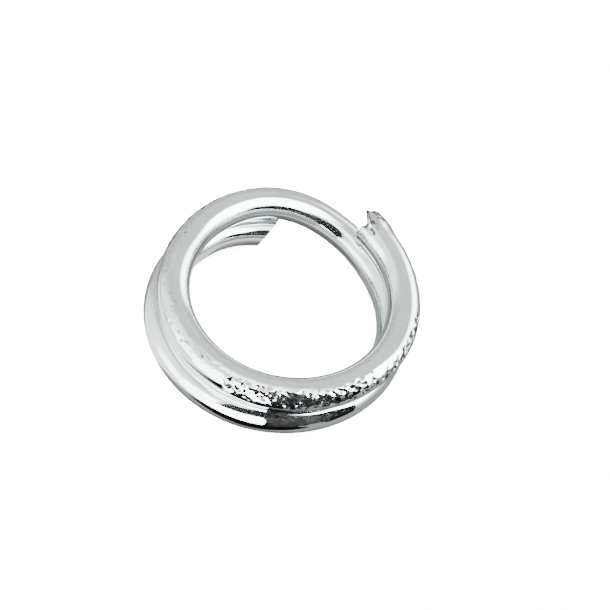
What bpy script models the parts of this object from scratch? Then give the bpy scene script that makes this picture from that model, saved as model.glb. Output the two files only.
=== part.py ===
"""Split key ring: one round wire coiled in nearly two flat turns that rest on each other.

The wire runs clockwise, seen from above, from the upper free end, once round the upper
turn, down the crossover and round the lower turn to the lower free end. It is cut square
across at each place where it twists when a free end is pried away, and each length has
its origin there, on the twist axis, and is parented to the next one towards the
crossover. Metres, +Z up, the lower turn rests on z = 0, the ring is centred on the Z axis.
"""

import math

import bmesh
import bpy
from mathutils import Vector

MM = 0.001

# --- driving sizes -----------------------------------------------------------
OUTER_DIAMETER = 10.0 * MM  # over one turn
WIRE_DIAMETER = 1.25 * MM
TURN_GAP = 0.02 * MM  # between the resting turns
CUT_GAP = 0.02 * MM  # between neighbouring lengths of wire

START_AZIMUTH = 58.3  # degrees from +X to the upper free end
TOTAL_SWEEP = 672.0  # upper free end to lower free end
CROSSOVER_START = 277.0  # where the wire leaves the upper level
CROSSOVER_SWEEP = 120.0  # over which it drops to the lower level

END_LIFT = 0.35 * MM  # the upper free end rides up over the crossover
END_LIFT_DECAY = 35.0
LOWER_SPREAD = 0.14 * MM  # the lower turn is a little wider,
LOWER_SHIFT = (-0.30 * MM, -0.15 * MM)  # sits off centre,
TAIL_INSET = 0.60 * MM  # and its free end is drawn in
TAIL_DECAY = 33.0
TAIL_ROUNDING = 12.0  # degrees over which the drawn-in end straightens out

# sheared ends: slope along the wire per unit across it, and the side of the wire,
# as an angle from outward towards up, that the slope rises towards
UPPER_CUT_SLANT, UPPER_CUT_SIDE = 0.45, 275.0
LOWER_CUT_SLANT, LOWER_CUT_SIDE = 0.85, 33.0
CUT_BLEND = 26.0  # degrees of wire over which the slant fades into square sections

SECTION_SIDES = 24
DEGREES_PER_RING = 4.6

CENTRE_X = 0.176 * MM  # moves the coil so that its bounding box is centred on Z
CENTRE_Y = 0.143 * MM

CROSSOVER_END = CROSSOVER_START + CROSSOVER_SWEEP
# the lengths of wire in each half, from its free end to the crossover
UPPER_LENGTHS = (
    "upper_free_end",
    "upper_turn_right",
    "upper_turn_front",
    "upper_turn_left",
    "upper_turn_back",
)
LOWER_LENGTHS = (
    "lower_free_end",
    "lower_turn_back",
    "lower_turn_left",
    "lower_turn_front",
    "lower_turn_right",
)

MEAN_RADIUS = (OUTER_DIAMETER - WIRE_DIAMETER) / 2
WIRE_RADIUS = WIRE_DIAMETER / 2
UPPER_Z = 1.5 * WIRE_DIAMETER + TURN_GAP
LOWER_Z = 0.5 * WIRE_DIAMETER


def smooth(x):
    """Fifth-order step from 0 to 1."""
    x = min(max(x, 0.0), 1.0)
    return x * x * x * (10 - 15 * x + 6 * x * x)


def centre_line(s):
    """The middle of the wire, s degrees of winding from the upper free end."""
    low = smooth((s - CROSSOVER_START) / CROSSOVER_SWEEP)
    z = UPPER_Z + (LOWER_Z - UPPER_Z) * low
    z += END_LIFT * math.exp(-s / END_LIFT_DECAY) * (1 - low)
    radius = MEAN_RADIUS + LOWER_SPREAD * low
    to_tail = math.hypot(TOTAL_SWEEP - s, TAIL_ROUNDING) - TAIL_ROUNDING
    radius -= TAIL_INSET * math.exp(-to_tail / TAIL_DECAY)
    azimuth = math.radians(START_AZIMUTH - s)
    return Vector(
        (
            CENTRE_X + radius * math.cos(azimuth) + LOWER_SHIFT[0] * low,
            CENTRE_Y + radius * math.sin(azimuth) + LOWER_SHIFT[1] * low,
            z,
        )
    )


def section_axes(s):
    """Outward and upward axes of the wire's cross-section at s, and the wire's direction."""
    along = (centre_line(s + 0.05) - centre_line(s - 0.05)).normalized()
    outward = Vector((0, 0, 1)).cross(along)
    outward.normalize()
    if outward.dot(centre_line(s) - Vector((CENTRE_X, CENTRE_Y, 0))) < 0:
        outward.negate()
    upward = outward.cross(along)
    if upward.z < 0:
        upward.negate()
    return outward, upward, along


def wire_point(s, angle):
    outward, upward, _ = section_axes(s)
    # flats of the section touch the round wire, so a flat lies on the rest plane
    radius = WIRE_RADIUS / math.cos(math.pi / SECTION_SIDES)
    return centre_line(s) + radius * (
        math.cos(angle) * outward + math.sin(angle) * upward
    )


def sheared(s, angle):
    """Moves a ring point along the wire near a free end, so that the end is a slanted cut."""
    per_mm = math.degrees(1 / MEAN_RADIUS)
    upper = WIRE_RADIUS * math.cos(angle - math.radians(UPPER_CUT_SIDE))
    lower = WIRE_RADIUS * math.cos(angle - math.radians(LOWER_CUT_SIDE))
    near_start = smooth(1 - s / CUT_BLEND)
    near_end = smooth(1 - (TOTAL_SWEEP - s) / CUT_BLEND)
    s += near_start * UPPER_CUT_SLANT * upper * per_mm
    s += near_end * LOWER_CUT_SLANT * lower * per_mm
    return s


def wire_length(name, start, end, pivot):
    """One closed length of wire between two cuts across it, with its origin at pivot."""
    half_gap = math.degrees(CUT_GAP / 2 / MEAN_RADIUS)
    first = start + (half_gap if start > 0 else 0.0)
    last = end - (half_gap if end < TOTAL_SWEEP else 0.0)
    rings = round((last - first) / DEGREES_PER_RING)
    bm = bmesh.new()
    loops = []
    for i in range(rings + 1):
        s = first + (last - first) * i / rings
        loop = []
        for k in range(SECTION_SIDES):
            angle = (k + 0.5) * 2 * math.pi / SECTION_SIDES
            loop.append(bm.verts.new(wire_point(sheared(s, angle), angle) - pivot))
        loops.append(loop)
    for a, b in zip(loops, loops[1:]):
        for k in range(SECTION_SIDES):
            j = (k + 1) % SECTION_SIDES
            bm.faces.new((a[k], b[k], b[j], a[j]))
    bm.faces.new(loops[0])
    bm.faces.new(reversed(loops[-1]))
    bmesh.ops.recalc_face_normals(bm, faces=bm.faces)
    mesh = bpy.data.meshes.new(name)
    bm.to_mesh(mesh)
    bm.free()
    mesh.shade_smooth()
    mesh.set_sharp_from_angle(angle=math.radians(40))
    mesh.materials.append(plated_metal(name + "_plating"))
    obj = bpy.data.objects.new(name, mesh)
    bpy.context.scene.collection.objects.link(obj)
    return obj


def plated_metal(name):
    material = bpy.data.materials.new(name)
    material.use_nodes = True
    shader = material.node_tree.nodes["Principled BSDF"]
    shader.inputs["Base Color"].default_value = (0.80, 0.81, 0.82, 1)
    shader.inputs["Metallic"].default_value = 1.0
    shader.inputs["Roughness"].default_value = 0.16
    return material


def half_turn(names, tip, root, crossover):
    """The lengths from the crossover out to one free end, each carried by the one before."""
    step = (root - tip) / len(names)
    parent, parent_pivot = crossover, Vector()
    for i in reversed(range(len(names))):
        outer_cut, inner_cut = tip + i * step, tip + (i + 1) * step
        pivot = centre_line(inner_cut)
        ends = sorted((outer_cut, inner_cut))
        obj = wire_length(names[i], *ends, pivot)
        obj.parent = parent
        obj.location = pivot - parent_pivot
        parent, parent_pivot = obj, pivot


for old in list(bpy.data.objects):
    bpy.data.objects.remove(old)

crossover = wire_length("crossover", CROSSOVER_START, CROSSOVER_END, Vector())
half_turn(UPPER_LENGTHS, 0.0, CROSSOVER_START, crossover)
half_turn(LOWER_LENGTHS, TOTAL_SWEEP, CROSSOVER_END, crossover)
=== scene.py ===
"""Looks of the split key ring: one bright plated wire, coiled twice, with sheared ends.

The wire's surface is computed once for its whole length, as a grid of rings, and then
cut into pieces that run from the middle of one CAD length to the middle of the next.
Lengths here are in millimetres until a mesh is made; angles along the wire are degrees
of winding from the upper free end.
"""

import math

import bpy
import numpy as np
from mathutils import Matrix, Vector


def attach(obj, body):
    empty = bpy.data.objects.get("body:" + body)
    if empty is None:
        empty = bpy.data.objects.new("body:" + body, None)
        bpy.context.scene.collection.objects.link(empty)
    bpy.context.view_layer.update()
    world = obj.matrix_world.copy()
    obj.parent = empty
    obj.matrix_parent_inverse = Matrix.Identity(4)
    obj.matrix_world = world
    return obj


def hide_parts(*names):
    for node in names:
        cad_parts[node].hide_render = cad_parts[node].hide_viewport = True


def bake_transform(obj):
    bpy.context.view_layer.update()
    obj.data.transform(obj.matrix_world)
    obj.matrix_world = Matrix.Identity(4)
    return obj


MM = 0.001

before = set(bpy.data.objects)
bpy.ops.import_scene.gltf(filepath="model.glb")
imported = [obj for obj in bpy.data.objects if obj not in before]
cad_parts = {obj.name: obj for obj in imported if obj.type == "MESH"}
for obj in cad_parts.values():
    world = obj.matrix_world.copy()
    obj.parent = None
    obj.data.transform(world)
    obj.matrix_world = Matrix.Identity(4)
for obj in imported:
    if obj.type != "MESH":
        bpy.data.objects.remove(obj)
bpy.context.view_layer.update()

# --- the wire, as in the CAD model -------------------------------------------
OUTER_DIAMETER = 10.0
WIRE_DIAMETER = 1.25
TURN_GAP = 0.02
START_AZIMUTH = 58.3  # bearing of the upper free end, in degrees from the X axis
TOTAL_SWEEP = 672.0  # degrees wound from one free end to the other
CROSSOVER_START = 277.0  # where the wire leaves the upper level
CROSSOVER_SWEEP = 120.0  # over which it drops to the lower level
END_LIFT = 0.35  # the upper free end rides up over the crossover
END_LIFT_DECAY = 35.0  # degrees over which that falls to about a third
LOWER_SPREAD = 0.14  # the lower turn is wider
LOWER_SHIFT = (-0.30, -0.15)  # and lies a little off to one side
TAIL_INSET = 0.60  # and its free end is drawn in
TAIL_DECAY = 33.0  # degrees over which that falls to about a third
TAIL_ROUNDING = 12.0  # degrees over which the drawn-in end straightens out
# a cut's slant is its distance along the wire per distance across it, and its side is
# where round the wire it lies furthest along
UPPER_CUT_SLANT, UPPER_CUT_SIDE = 0.45, 275.0
LOWER_CUT_SLANT, LOWER_CUT_SIDE = 0.85, 33.0
CUT_BLEND = 26.0  # degrees from a cut over which its slant fades out
CENTRE = (0.176, 0.143)  # of the upper turn

MEAN_RADIUS = (OUTER_DIAMETER - WIRE_DIAMETER) / 2
WIRE_RADIUS = WIRE_DIAMETER / 2
UPPER_Z = 1.5 * WIRE_DIAMETER + TURN_GAP
LOWER_Z = 0.5 * WIRE_DIAMETER
CROSSOVER_END = CROSSOVER_START + CROSSOVER_SWEEP

# The CAD lengths along the wire, and where each one ends. From each free end to the
# crossover, the wire is cut into equal lengths.
LENGTHS = (
    "upper_free_end",
    "upper_turn_right",
    "upper_turn_front",
    "upper_turn_left",
    "upper_turn_back",
    "crossover",
    "lower_turn_right",
    "lower_turn_front",
    "lower_turn_left",
    "lower_turn_back",
    "lower_free_end",
)
PER_HALF = (len(LENGTHS) - 1) // 2
UPPER_STEP = CROSSOVER_START / PER_HALF
LOWER_STEP = (TOTAL_SWEEP - CROSSOVER_END) / PER_HALF
CUTS = [UPPER_STEP * i for i in range(PER_HALF + 1)]
CUTS += [CROSSOVER_END + LOWER_STEP * i for i in range(PER_HALF + 1)]

# --- fineness of the surface -------------------------------------------------
RING_STEP = 0.4  # degrees of winding between rings
SIDES = 112
CAP_RINGS = 22

# --- the two cuts ------------------------------------------------------------
# the upper cut's ragged rim: degrees along the wire, where round it, and how wide
RAGGED_RIM = ((3.0, 121, 13), (-2.2, 82, 9), (4.0, 24, 12), (-0.8, 160, 14))
# the cutter spread the upper end outwards, towards one side
FLARE_RISE, FLARE_SIDE = 0.11, 38.0
FLARE_REACH, FLARE_SPREAD = 13.0, 34.0  # degrees along the wire, and round it
# relief of the two faces
TORN_GROOVES, TORN_GRAIN, TORN_HOLLOW = 0.025, 0.018, 0.10
SHEAR_LINES = 0.006

# --- nodules and pits in the plating -----------------------------------------
# Patches of marks: how many, degrees along the wire, degrees round it (0 outward, 90 up),
# their widths, and their heights, in millimetres.
MARKS = (
    (110, (97, 166), (6, 66), (0.10, 0.17), (0.016, 0.040)),  # coarse nodules at the front
    (60, (97, 166), (6, 66), (0.10, 0.16), (-0.035, -0.015)),  # and the pits among them
    (130, (56, 100), (6, 50), (0.07, 0.14), (-0.040, 0.026)),  # front right
    (80, (24, 62), (-4, 28), (0.07, 0.12), (-0.040, 0.020)),  # right
    (70, (164, 215), (36, 68), (0.07, 0.13), (-0.017, 0.010)),  # front left
    (70, (205, 262), (44, 88), (0.06, 0.11), (-0.016, 0.004)),  # left
    (60, (244, 270), (8, 36), (0.07, 0.15), (-0.036, 0.010)),  # left, on the outer flank
    (60, (270, 300), (22, 46), (0.09, 0.18), (-0.045, 0.012)),  # back left
    (40, (15, 300), (40, 150), (0.05, 0.10), (-0.010, 0.0)),  # stray pinholes
    (30, (470, 502), (20, 50), (0.12, 0.22), (-0.008, 0.008)),  # front of the lower turn
    (50, (0, 7), (25, 175), (0.08, 0.18), (-0.014, 0.006)),  # bruised by the cutter
)
# single marks beside the upper cut: a bump ringed by three dents, one dent behind it, and
# small dents along the rim's tip
CUT_MARKS = (
    (1, (2.3, 2.5), (110, 112), (0.13, 0.14), (0.035, 0.04)),
    (1, (0.9, 1.1), (116, 118), (0.12, 0.13), (-0.040, -0.035)),
    (1, (3.4, 3.6), (101, 103), (0.12, 0.13), (-0.040, -0.035)),
    (1, (4.0, 4.2), (115, 117), (0.14, 0.15), (-0.040, -0.035)),
    (1, (6.9, 7.1), (117, 119), (0.13, 0.14), (-0.036, -0.030)),
    (9, (0.0, 1.0), (60, 92), (0.09, 0.13), (-0.022, -0.012)),
    (16, (0.5, 6), (40, 100), (0.09, 0.15), (-0.018, -0.008)),
)
# slight waviness of the whole wire, given in the same way
WAVES = (400, (0, TOTAL_SWEEP), (0, 360), (0.8, 1.6), (-0.006, 0.006))
MARK_SEED = 7
MARK_STRETCH = (0.75, 1.6)  # a mark's length along the wire, over its width
SPREADS_PER_WIDTH = 2.6  # a mark is a bell curve; its width is this many of its spreads
SPREADS_COVERED = 3  # and it is cut off this many spreads from its middle
PIT_DEPTH = 0.024  # of a pit that is fully dark with painted shade

# --- the plating's colour and finish -----------------------------------------
NOISE_RANGE = (0.3, 0.7)  # where most of a noise pattern's values lie
TINTS = ((0.75, 0.82, 0.82, 1), (0.83, 0.895, 0.90, 1))
CLOUD_ROUGHNESS = (0.02, 0.04)
GRAIN_ROUGHNESS = (0.0, 0.01)  # added to that
# darkens the bruise by the upper cut, which is the metal's own, and is painted shade in the
# pits
BRUISE_AND_PIT_SHADE_COLOUR = (0.045, 0.045, 0.047, 1)
BRUISE_AND_PIT_SHADE_ROUGHNESS = 0.12  # added where the bruise is full, and where the painted pit shade is full
BRUISE_EDGES = (0.75, 0.05)  # from the upper end: where the bruise begins, and where it is full
BRUISE_COVER = (-0.45, 1.1)  # over the noise range: below 0 is clean, above 1 is fully dull
LINE_DEPTH = 3e-7  # metres
GRAIN_DEPTH = 2e-7  # metres

# --- the camera --------------------------------------------------------------
CAMERA_ELEVATION, CAMERA_ROLL = 55.46, 14.61  # degrees
CAMERA_DISTANCE = 12 * MEAN_RADIUS
CAMERA_LENS = 81.55
CAMERA_SHIFT_X, CAMERA_SHIFT_Y = 0.0292, -0.0038
CAMERA_NEAR, CAMERA_FAR = 0.002, 10  # metres

# --- the studio, as the metal mirrors it -------------------------------------
# Each panel is a patch of the far studio: its bearing in degrees, with 0 straight to the
# front and growing to the right, its elevation, how soft its edges are, and how bright it
# is. Later panels lie over earlier ones.
PANELS = (
    # left, right, bottom, top, softness, radiance
    (-180, 180, -6, 95, 6, 1.15),  # the tent above the table
    (118, 205, -6, 30, 16, 0.8),  # its lower part, behind on the right
    (-205, -118, -6, 30, 16, 0.8),  # and behind on the left
    (-110, -20, -8, 62, 12, 2.6),  # large soft light at the left
    (-78, -28, -4, 32, 8, 7.0),  # its bright middle
    (34, 112, 14, 68, 9, 14.0),  # large soft light at the right
    (110, 150, 4, 36, 8, 9.0),  # its spill to the back
    (24, 66, -12, 26, 8, 0.5),  # unlit front right corner
)
TABLE_PAINTED_SHADE_BELOW, TABLE_FAR = 0.14, 0.5  # radiance of the table, straight below and far out; the darker value straight below is painted shade of the table round the ring
TABLE_FAR_ELEVATION = -35  # degrees, from where the table counts as far out
FLOOR_HALF = 600.0
FLOOR_COLOUR = (0.9, 0.9, 0.9, 1)
FLOOR_ROUGHNESS = 0.9
FLOOR_LIGHT = 60.0  # radiance of the studio for everything but reflections

# Cards round the ring, seen only in its reflections: corners in millimetres and a
# radiance. The upright ones stand at UPRIGHT_CARDS_Y, in front of the ring, and are given
# as x, z. The ones overhead and the ones on the table are given as x, y.
UPRIGHT_CARDS_Y = -8.0
UPRIGHT_CARDS = {
    "bright_left": (((-8.0, 0.2), (-3.1, 0.2), (-3.1, 6.5), (-8.0, 6.5)), 9.0),
    "window": (((-3.1, 0.3), (1.0, 0.3), (1.0, 3.9), (-3.1, 3.1)), 11.0),
    "camera": (((-2.69, 3.18), (1.0, 3.9), (3.0, 6.0), (3.0, 10.0), (-2.4, 10.0)), 0.006),
    "photographer": (
        ((-2.4, 10.0), (3.0, 10.0), (3.6, 22.0), (0.5, 18.5), (-1.2, 13.0)),
        0.03,
    ),
    "near_side": (((1.0, 0.0), (4.6, 0.0), (4.6, 5.3), (3.0, 6.0), (1.0, 3.9)), 0.025),
    "far_side": (((4.6, 0.0), (7.2, 0.0), (7.2, 4.3), (4.6, 5.3)), 0.05),
    "shoulder": (
        ((3.0, 6.0), (4.6, 5.3), (7.2, 4.3), (6.4, 10.4), (3.6, 22.0), (3.0, 10.0)),
        0.05,
    ),
    "dark_arm": (
        ((7.2, -1.0), (17.0, -3.0), (20.0, 7.0), (11.2, 11.4), (6.4, 10.4), (7.2, 4.3)),
        0.006,
    ),
}
CEILING_CARDS_Z = 30.0
CEILING_CARDS = {
    "ceiling_light": (((-10.0, -13.0), (9.0, -13.0), (9.0, -2.0), (-10.0, -2.0)), 5.0),
    "ceiling_edge": (((-12.0, -2.0), (8.0, -2.0), (6.0, 3.0), (-12.0, 3.0)), 2.2),
}
TABLE_CARDS_Z = -0.01  # just under the floor, which the metal does not mirror
TABLE_CARDS = {
    "table_left": (((-12.0, -11.0), (-4.3, -11.0), (-4.3, -3.0), (-12.0, 4.0)), 2.6),
    "table_in_hole": (((-3.4, -2.8), (0.3, -2.8), (0.3, 2.0), (-3.4, 2.0)), 1.3),
    # painted shadow: a dark sheet where the ring's shadow lies on the table, as the metal
    # mirrors it
    "painted_shadow_under_back": (((-2.6, 2.6), (2.0, 2.6), (1.4, 3.6), (-1.8, 3.6)), 0.22),
    "table_dark": (((-3.6, -10.2), (3.4, -10.2), (3.2, -5.6), (-3.6, -5.6)), 0.006),
}


# --- the wire's shape --------------------------------------------------------
def smooth(x):
    """Fifth-order step from 0 to 1."""
    x = np.clip(x, 0.0, 1.0)
    return x * x * x * (10 - 15 * x + 6 * x * x)


def centre_line(s):
    """Points on the middle of the wire, for an array of angles."""
    low = smooth((s - CROSSOVER_START) / CROSSOVER_SWEEP)
    z = UPPER_Z + (LOWER_Z - UPPER_Z) * low
    z = z + END_LIFT * np.exp(-s / END_LIFT_DECAY) * (1 - low)
    to_tail = np.hypot(TOTAL_SWEEP - s, TAIL_ROUNDING) - TAIL_ROUNDING
    radius = MEAN_RADIUS + LOWER_SPREAD * low - TAIL_INSET * np.exp(-to_tail / TAIL_DECAY)
    azimuth = np.radians(START_AZIMUTH - s)
    x = CENTRE[0] + radius * np.cos(azimuth) + LOWER_SHIFT[0] * low
    y = CENTRE[1] + radius * np.sin(azimuth) + LOWER_SHIFT[1] * low
    return np.stack([x, y, z], axis=-1)


def section_axes(s):
    """Outward and upward axes of the cross-section at s."""
    near = 0.05  # degrees
    along = centre_line(s + near) - centre_line(s - near)
    along /= np.linalg.norm(along, axis=-1, keepdims=True)
    outward = np.cross((0.0, 0.0, 1.0), along)
    outward /= np.linalg.norm(outward, axis=-1, keepdims=True)
    return outward, np.cross(along, outward)


def away_from(angle, side):
    """Degrees from a side of the wire to an angle round it, between -180 and 180."""
    return (np.degrees(angle) - side + 180) % 360 - 180


def ragged(angle):
    """How far the upper cut's rim stands back from its plane, in degrees of winding."""
    total = 0.0
    for shift, side, spread in RAGGED_RIM:
        total = total + shift * np.exp(-((away_from(angle, side) / spread) ** 2) / 2)
    return total


def sheared(s, angle):
    """Moves ring points along the wire near the free ends, for the slanted cuts."""
    per_mm = math.degrees(1 / MEAN_RADIUS)
    upper = WIRE_RADIUS * np.cos(angle - math.radians(UPPER_CUT_SIDE))
    lower = WIRE_RADIUS * np.cos(angle - math.radians(LOWER_CUT_SIDE))
    near_start = smooth(1 - s / CUT_BLEND)
    near_end = smooth(1 - (TOTAL_SWEEP - s) / CUT_BLEND)
    return (
        s
        + near_start * (UPPER_CUT_SLANT * upper * per_mm + ragged(angle))
        + near_end * LOWER_CUT_SLANT * lower * per_mm
    )


def add_marks(height, rng, count, s_range, angle_range, width, rise):
    """Adds round bumps, or pits where rise is negative, to the heights of a patch of the
    grid. Each has its own equal share of the patch's length and lies anywhere in that.
    Ranges are in degrees, width and rise in millimetres."""
    step_s = math.radians(RING_STEP) * MEAN_RADIUS
    step_a = 2 * math.pi / SIDES * WIRE_RADIUS
    for number in range(count):
        s = s_range[0] + (s_range[1] - s_range[0]) * (number + rng.uniform()) / count
        angle = rng.uniform(*angle_range)
        spread = rng.uniform(*width) / SPREADS_PER_WIDTH
        stretch = rng.uniform(*MARK_STRETCH)
        top = rng.uniform(*rise)
        i = round(s / RING_STEP)
        k = round(angle / 360 * SIDES)
        reach_i = int(SPREADS_COVERED * spread * stretch / step_s) + 1
        reach_k = int(SPREADS_COVERED * spread / step_a) + 1
        ring_ids = np.arange(max(i - reach_i, 0), min(i + reach_i + 1, len(height)))
        side_ids = np.arange(k - reach_k, k + reach_k + 1)
        d_s = (ring_ids - s / RING_STEP) * step_s / (spread * stretch)
        d_a = (side_ids - angle / 360 * SIDES) * step_a / spread
        bump = top * np.exp(-(d_s[:, None] ** 2 + d_a[None, :] ** 2) / 2)
        np.add.at(height, (ring_ids[:, None], side_ids[None, :] % SIDES), bump)


def relief(rings, sides):
    """Height of the plating over the round wire, in millimetres, and how dark the painted
    shade in its pits is, from 0 to 1, for every grid point."""
    height = np.zeros((len(rings), len(sides)))
    rng = np.random.default_rng(MARK_SEED)
    for patch in MARKS + CUT_MARKS:
        add_marks(height, rng, *patch)
    # painted shade: the deeper a pit, the darker it is painted
    pit_shade = smooth(-height / PIT_DEPTH)
    add_marks(height, rng, *WAVES)
    fade = smooth(1 - rings / FLARE_REACH)
    round_it = np.exp(-((away_from(sides, FLARE_SIDE) / FLARE_SPREAD) ** 2) / 2)
    height += FLARE_RISE * fade[:, None] * round_it
    return height, pit_shade


def wire_grid():
    """Ring angles, and for every grid point its place, its normal, where it lay when the
    wire was straight, and its painted pit shade."""
    rings = np.linspace(0.0, TOTAL_SWEEP, round(TOTAL_SWEEP / RING_STEP) + 1)
    sides = (np.arange(SIDES) + 0.5) * 2 * math.pi / SIDES
    s, angle = np.meshgrid(rings, sides, indexing="ij")
    s = sheared(s, angle)
    outward, upward = section_axes(s)
    radial = np.cos(angle)[..., None] * outward + np.sin(angle)[..., None] * upward
    height, pit_shade = relief(rings, sides)
    points = centre_line(s) + (WIRE_RADIUS + height)[..., None] * radial
    along = np.gradient(points, axis=0)
    around = np.roll(points, -1, axis=1) - np.roll(points, 1, axis=1)
    normals = np.cross(around, along)
    normals /= np.linalg.norm(normals, axis=-1, keepdims=True)
    across, up = WIRE_RADIUS * np.cos(angle), WIRE_RADIUS * np.sin(angle)
    straight = np.stack([across, up, np.radians(s) * MEAN_RADIUS], axis=-1)
    return rings, points, normals, straight, pit_shade


# --- the pieces' meshes ------------------------------------------------------
def tube_faces(count):
    """The quads round a tube of count rings."""
    i, k = np.meshgrid(np.arange(count - 1), np.arange(SIDES), indexing="ij")
    j = (k + 1) % SIDES
    near, far = i * SIDES, (i + 1) * SIDES
    quads = np.stack([near + k, near + j, far + j, far + k], axis=-1)
    return quads.reshape(-1, 4)


def add_cap(vertices, straight, faces, rim, facing, height):
    """Closes a rim of SIDES vertices with rings of faces that shrink to one middle point,
    and returns the longer lists of vertices and straight-wire places. height(across, up,
    share) lifts the cap along its outward normal, in millimetres; share is 1 at the rim and
    0 in the middle."""
    edge = vertices[rim]
    middle = edge.mean(axis=0)
    rim_straight = straight[rim]
    middle_straight = rim_straight.mean(axis=0)
    normal = np.cross(edge[SIDES // 4] - middle, edge[0] - middle)
    normal *= np.sign(normal @ facing) / np.linalg.norm(normal)
    first = edge[0] - middle
    first /= np.linalg.norm(first)
    second = np.cross(normal, first)
    ring_ids = list(rim)
    for ring in range(1, CAP_RINGS):
        share = 1 - ring / CAP_RINGS
        points = middle + (edge - middle) * share
        lift = height((points - middle) @ first, (points - middle) @ second, share)
        start = len(vertices)
        vertices = np.vstack([vertices, points + lift[:, None] * normal])
        flat = middle_straight + (rim_straight - middle_straight) * share
        straight = np.vstack([straight, flat])
        new_ids = list(range(start, start + SIDES))
        for k in range(SIDES):
            j = (k + 1) % SIDES
            faces.append((ring_ids[k], ring_ids[j], new_ids[j], new_ids[k]))
        ring_ids = new_ids
    for k in range(SIDES):
        faces.append((ring_ids[k], ring_ids[(k + 1) % SIDES], len(vertices)))
    return np.vstack([vertices, middle]), np.vstack([straight, middle_straight])


def flat_cap(across, up, share):
    """Flat, for an end that lies inside the wire, against the next piece."""
    return np.zeros_like(across)


def torn_cap(across, up, share):
    """Coarse and grooved, hollow in the middle, as side cutters leave it."""
    inside = 1 - share**6
    grooves = TORN_GROOVES * np.sin(19 * across + 3 * np.sin(7 * up))
    grain = TORN_GRAIN * np.sin(31 * up + 9 * across) * np.sin(23 * across - 11 * up)
    return inside * (grooves + grain) - TORN_HOLLOW * (1 - share**2)


def shorn_cap(across, up, share):
    """Nearly flat, with fine lines across it from the shear."""
    return (1 - share**8) * SHEAR_LINES * np.sin(40 * up + 1.5 * np.sin(9 * across))


def sharpen_rims(mesh, count):
    """Makes both rims of a tube of count rings sharp, so that its caps shade on their own."""
    rims = set()
    for ring in (0, count - 1):
        for k in range(SIDES):
            pair = (ring * SIDES + k, ring * SIDES + (k + 1) % SIDES)
            rims.add(tuple(sorted(pair)))
    for edge in mesh.edges:
        if tuple(sorted(edge.vertices)) in rims:
            edge.use_edge_sharp = True


def wire_piece(name, grid, first, last, caps):
    """A closed tube between two rings of the grid, with the grid's own normals on its side,
    so that neighbouring pieces meet without a visible seam."""
    points, normals, straight, pit_shade = (values[first : last + 1] for values in grid)
    count = last - first + 1
    vertices = points.reshape(-1, 3)
    coordinates = straight.reshape(-1, 3)
    side_faces = tube_faces(count)
    cap_faces = []
    start_rim = np.arange(SIDES)[::-1]
    end_rim = np.arange(SIDES) + (count - 1) * SIDES
    back = points[0].mean(axis=0) - points[1].mean(axis=0)
    ahead = points[-1].mean(axis=0) - points[-2].mean(axis=0)
    for rim, facing, cap in ((start_rim, back, caps[0]), (end_rim, ahead, caps[1])):
        vertices, coordinates = add_cap(vertices, coordinates, cap_faces, rim, facing, cap)
    mesh = bpy.data.meshes.new(name)
    mesh.from_pydata((vertices * MM).tolist(), [], side_faces.tolist() + cap_faces)
    mesh.update()
    mesh.shade_smooth()
    sharpen_rims(mesh, count)
    corners = np.zeros((len(mesh.loops), 3))
    corners[: side_faces.size] = normals.reshape(-1, 3)[side_faces.reshape(-1)]
    mesh.normals_split_custom_set(corners.tolist())
    places = mesh.attributes.new("straight_wire", "FLOAT_VECTOR", "POINT")
    places.data.foreach_set("vector", coordinates.astype(np.float32).reshape(-1))
    # painted shade in the pits, kept for each point
    darkness = np.zeros(len(vertices), dtype=np.float32)
    darkness[: pit_shade.size] = pit_shade.reshape(-1)
    mesh.attributes.new("pit_shade", "FLOAT", "POINT").data.foreach_set("value", darkness)
    piece = bpy.data.objects.new(name, mesh)
    bpy.context.scene.collection.objects.link(piece)
    return piece


# --- shading -----------------------------------------------------------------
def connect(tree, value, socket):
    """Feeds an input from another node's output, or sets it to a plain value."""
    if isinstance(value, bpy.types.NodeSocket):
        tree.links.new(value, socket)
    else:
        socket.default_value = value


def calculate(tree, operation, *values, clamp=False):
    """Result of a sum on numbers or other nodes' outputs."""
    node = tree.nodes.new("ShaderNodeMath")
    node.operation = operation
    node.use_clamp = clamp
    for value, socket in zip(values, node.inputs):
        connect(tree, value, socket)
    return node.outputs[0]


def remap(tree, value, before, after=(0.0, 1.0), interpolation="LINEAR"):
    """Moves a value from one range to another, and holds it inside that."""
    node = tree.nodes.new("ShaderNodeMapRange")
    node.interpolation_type = interpolation
    connect(tree, value, node.inputs["Value"])
    limits = (*before, *after)
    for name, limit in zip(("From Min", "From Max", "To Min", "To Max"), limits):
        node.inputs[name].default_value = limit
    return node.outputs["Result"]


def attribute(tree, name, output):
    """What a mesh stores for each of its points."""
    node = tree.nodes.new("ShaderNodeAttribute")
    node.attribute_name = name
    return node.outputs[output]


def pattern(tree, place, scale, stretch, detail):
    """Noise of the given scale, drawn out along the wire."""
    mapping = tree.nodes.new("ShaderNodeMapping")
    mapping.inputs["Scale"].default_value = (1, 1, 1 / stretch)
    connect(tree, place, mapping.inputs["Vector"])
    noise = tree.nodes.new("ShaderNodeTexNoise")
    noise.inputs["Scale"].default_value = scale
    noise.inputs["Detail"].default_value = detail
    connect(tree, mapping.outputs["Vector"], noise.inputs["Vector"])
    return noise.outputs["Fac"]


def mixed_colour(tree, share, first, second):
    """The first colour where the share is 0, and the second where it is 1."""
    node = tree.nodes.new("ShaderNodeMix")
    node.data_type = "RGBA"
    # a mix node has sockets of every kind: input 0 is the share, inputs 6 and 7 are the
    # colours, and output 2 is the mixed colour
    for value, number in ((share, 0), (first, 6), (second, 7)):
        connect(tree, value, node.inputs[number])
    return node.outputs[2]


def bump_node(tree, height, depth):
    """A node that tilts the surface's normals by a height pattern of the given depth."""
    node = tree.nodes.new("ShaderNodeBump")
    node.inputs["Distance"].default_value = depth
    connect(tree, height, node.inputs["Height"])
    return node


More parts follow.
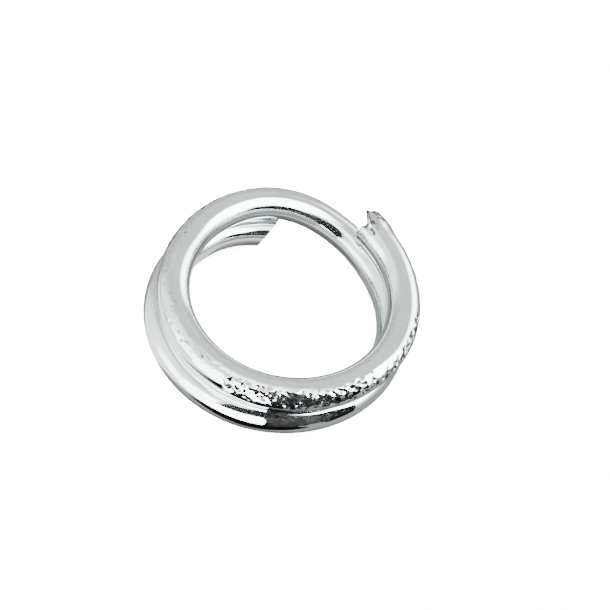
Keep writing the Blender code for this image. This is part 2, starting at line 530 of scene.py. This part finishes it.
def plated_metal():
    """Bright plating with faint drawing lines along the wire and cloudy patches, painted
    shade in its pits, and a dull bruise by the upper cut. Its pattern lies in the
    coordinates that the wire had when it was still straight, in millimetres."""
    material = bpy.data.materials.new("bright_plating")
    material.use_nodes = True
    tree = material.node_tree
    shader = tree.nodes["Principled BSDF"]
    shader.inputs["Metallic"].default_value = 1.0
    place = attribute(tree, "straight_wire", "Vector")
    clouds = pattern(tree, place, scale=1.3, stretch=2.5, detail=3)
    lines = pattern(tree, place, scale=16, stretch=30, detail=4)
    grain = pattern(tree, place, scale=26, stretch=1, detail=3)
    blotches = pattern(tree, place, scale=5.5, stretch=1, detail=5)

    parts = tree.nodes.new("ShaderNodeSeparateXYZ")
    connect(tree, place, parts.inputs["Vector"])
    near_cut = remap(tree, parts.outputs["Z"], BRUISE_EDGES, interpolation="SMOOTHSTEP")
    cover = remap(tree, blotches, NOISE_RANGE, BRUISE_COVER)
    bruise = calculate(tree, "MULTIPLY", near_cut, cover, clamp=True)
    # the real bruise by the upper cut, together with the painted shade in the pits
    bruise_and_pit_shade = calculate(tree, "MAXIMUM", bruise, attribute(tree, "pit_shade", "Fac"))

    tint = mixed_colour(tree, remap(tree, clouds, NOISE_RANGE), *TINTS)
    colour = mixed_colour(tree, bruise_and_pit_shade, tint, BRUISE_AND_PIT_SHADE_COLOUR)
    connect(tree, colour, shader.inputs["Base Color"])

    cloudy = remap(tree, clouds, NOISE_RANGE, CLOUD_ROUGHNESS)
    grainy = remap(tree, grain, NOISE_RANGE, GRAIN_ROUGHNESS)
    clean = calculate(tree, "ADD", cloudy, grainy)
    roughness = calculate(tree, "MULTIPLY_ADD", bruise_and_pit_shade, BRUISE_AND_PIT_SHADE_ROUGHNESS, clean)
    connect(tree, roughness, shader.inputs["Roughness"])

    line_bump = bump_node(tree, lines, LINE_DEPTH)
    grain_bump = bump_node(tree, grain, GRAIN_DEPTH)
    connect(tree, line_bump.outputs["Normal"], grain_bump.inputs["Normal"])
    connect(tree, grain_bump.outputs["Normal"], shader.inputs["Normal"])
    return material


# --- the pieces, on the CAD bodies -------------------------------------------
def build_wire():
    """The wire in twelve pieces: one at each free end, riding on its last length, and ten
    between the middles of two neighbouring lengths, fixed where they lie."""
    rings, *grid = wire_grid()
    metal = plated_metal()
    middles = [(a + b) / 2 for a, b in zip(CUTS, CUTS[1:])]
    stops = [0.0] + middles + [TOTAL_SWEEP]
    for i, (start, end) in enumerate(zip(stops, stops[1:])):
        first, last = (int(np.argmin(np.abs(rings - s))) for s in (start, end))
        caps = [flat_cap, flat_cap]
        if i == 0:
            name = "wire_upper_end"
            caps[0] = torn_cap
        elif i == len(stops) - 2:
            name = "wire_lower_end"
            caps[1] = shorn_cap
        else:
            name = f"wire_{LENGTHS[i - 1]}_to_{LENGTHS[i]}"
        piece = wire_piece(name, grid, first, last, caps)
        piece.data.materials.append(metal)
        if 0 < i < len(stops) - 2:
            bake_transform(piece)
            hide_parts(LENGTHS[i - 1])
        else:
            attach(piece, LENGTHS[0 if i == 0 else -1])
            if i:
                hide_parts(LENGTHS[-1])


# --- camera and studio -------------------------------------------------------
def build_camera():
    """Looks down at the ring from the front, rolled a little."""
    elevation, roll = math.radians(CAMERA_ELEVATION), math.radians(CAMERA_ROLL)
    distance = CAMERA_DISTANCE * MM
    target = Vector((CENTRE[0], CENTRE[1], WIRE_DIAMETER + TURN_GAP / 2)) * MM
    back = Vector((0, -math.cos(elevation), math.sin(elevation)))
    level_right = Vector((1, 0, 0))
    level_up = back.cross(level_right)
    right = math.cos(roll) * level_right + math.sin(roll) * level_up
    up = math.cos(roll) * level_up - math.sin(roll) * level_right
    data = bpy.data.cameras.new("camera")
    data.lens = CAMERA_LENS
    data.shift_x = CAMERA_SHIFT_X
    data.shift_y = CAMERA_SHIFT_Y
    data.clip_start = CAMERA_NEAR
    data.clip_end = CAMERA_FAR
    camera = bpy.data.objects.new("camera", data)
    rotation = Matrix((right, up, back)).transposed().to_4x4()
    camera.matrix_world = Matrix.Translation(target + back * distance) @ rotation
    bpy.context.scene.collection.objects.link(camera)
    bpy.context.scene.camera = camera


def build_world():
    """Bright all round for the floor and the backdrop, and a studio of light panels and dark
    patches for what the metal mirrors."""
    world = bpy.data.worlds.new("studio")
    bpy.context.scene.world = world
    world.use_nodes = True
    tree = world.node_tree

    def edge(angle, low, high):
        """From 0 to 1 as an angle goes from low to high, in degrees."""
        return remap(tree, angle, np.radians((low, high)), interpolation="SMOOTHSTEP")

    def blended(share, first, second):
        """From the first number to the second as the share goes from 0 to 1."""
        difference = calculate(tree, "SUBTRACT", second, first)
        return calculate(tree, "MULTIPLY_ADD", share, difference, first)

    direction = tree.nodes.new("ShaderNodeSeparateXYZ")
    looking = tree.nodes.new("ShaderNodeTexCoord").outputs["Generated"]
    connect(tree, looking, direction.inputs[0])
    x, y, z = direction.outputs
    bearing = calculate(tree, "ARCTAN2", x, calculate(tree, "MULTIPLY", y, -1.0))
    elevation = calculate(tree, "ARCSINE", z)
    # the table as the metal mirrors it, with painted shade straight below
    light = blended(edge(elevation, -90, TABLE_FAR_ELEVATION), TABLE_PAINTED_SHADE_BELOW, TABLE_FAR)
    for left, right, bottom, top, soft, radiance in PANELS:
        edges = [
            edge(elevation, bottom - soft, bottom + soft),
            edge(elevation, top + soft, top - soft),
        ]
        if right - left < 360:
            edges.append(edge(bearing, left - soft, left + soft))
            edges.append(edge(bearing, right + soft, right - soft))
        inside = edges[0]
        for factor in edges[1:]:
            inside = calculate(tree, "MULTIPLY", inside, factor)
        light = blended(inside, light, radiance)
    mirrored = tree.nodes.new("ShaderNodeLightPath").outputs["Is Glossy Ray"]
    background = tree.nodes["Background"]
    background.inputs["Color"].default_value = (1, 1, 1, 1)
    connect(tree, blended(mirrored, FLOOR_LIGHT, light), background.inputs["Strength"])


def stage_plane(name, corners, material):
    """A flat polygon that belongs to the studio and not to the part."""
    mesh = bpy.data.meshes.new(name)
    points = [[value * MM for value in corner] for corner in corners]
    mesh.from_pydata(points, [], [tuple(range(len(points)))])
    mesh.materials.append(material)
    plane = bpy.data.objects.new(name, mesh)
    bpy.context.scene.collection.objects.link(plane)
    return plane


def build_floor():
    """A matt white floor, which the metal does not mirror, as the table cards stand for it."""
    material = bpy.data.materials.new("floor_white")
    material.use_nodes = True
    shader = material.node_tree.nodes["Principled BSDF"]
    shader.inputs["Base Color"].default_value = FLOOR_COLOUR
    shader.inputs["Roughness"].default_value = FLOOR_ROUGHNESS
    shader.inputs["Specular IOR Level"].default_value = 0.0
    half = FLOOR_HALF
    corners = [(-half, -half, 0), (half, -half, 0), (half, half, 0), (-half, half, 0)]
    floor = stage_plane("floor", corners, material)
    floor.visible_glossy = False


def build_card(name, corners, radiance):
    """A light panel or a dark flag that only shows in the metal."""
    material = bpy.data.materials.new(f"card_{name}")
    material.use_nodes = True
    tree = material.node_tree
    emission = tree.nodes.new("ShaderNodeEmission")
    emission.inputs["Strength"].default_value = radiance
    connect(tree, emission.outputs[0], tree.nodes["Material Output"].inputs["Surface"])
    card = stage_plane(f"card_{name}", corners, material)
    card.visible_camera = False
    card.visible_diffuse = False
    card.visible_shadow = False


def build_cards():
    """The cards overhead, in front and on the table."""
    for name, (corners, radiance) in CEILING_CARDS.items():
        build_card(name, [(x, y, CEILING_CARDS_Z) for x, y in corners], radiance)
    for name, (corners, radiance) in UPRIGHT_CARDS.items():
        build_card(name, [(x, UPRIGHT_CARDS_Y, z) for x, z in corners], radiance)
    for name, (corners, radiance) in TABLE_CARDS.items():
        build_card(name, [(x, y, TABLE_CARDS_Z) for x, y in corners], radiance)


build_wire()
build_camera()
build_world()
build_floor()
build_cards()
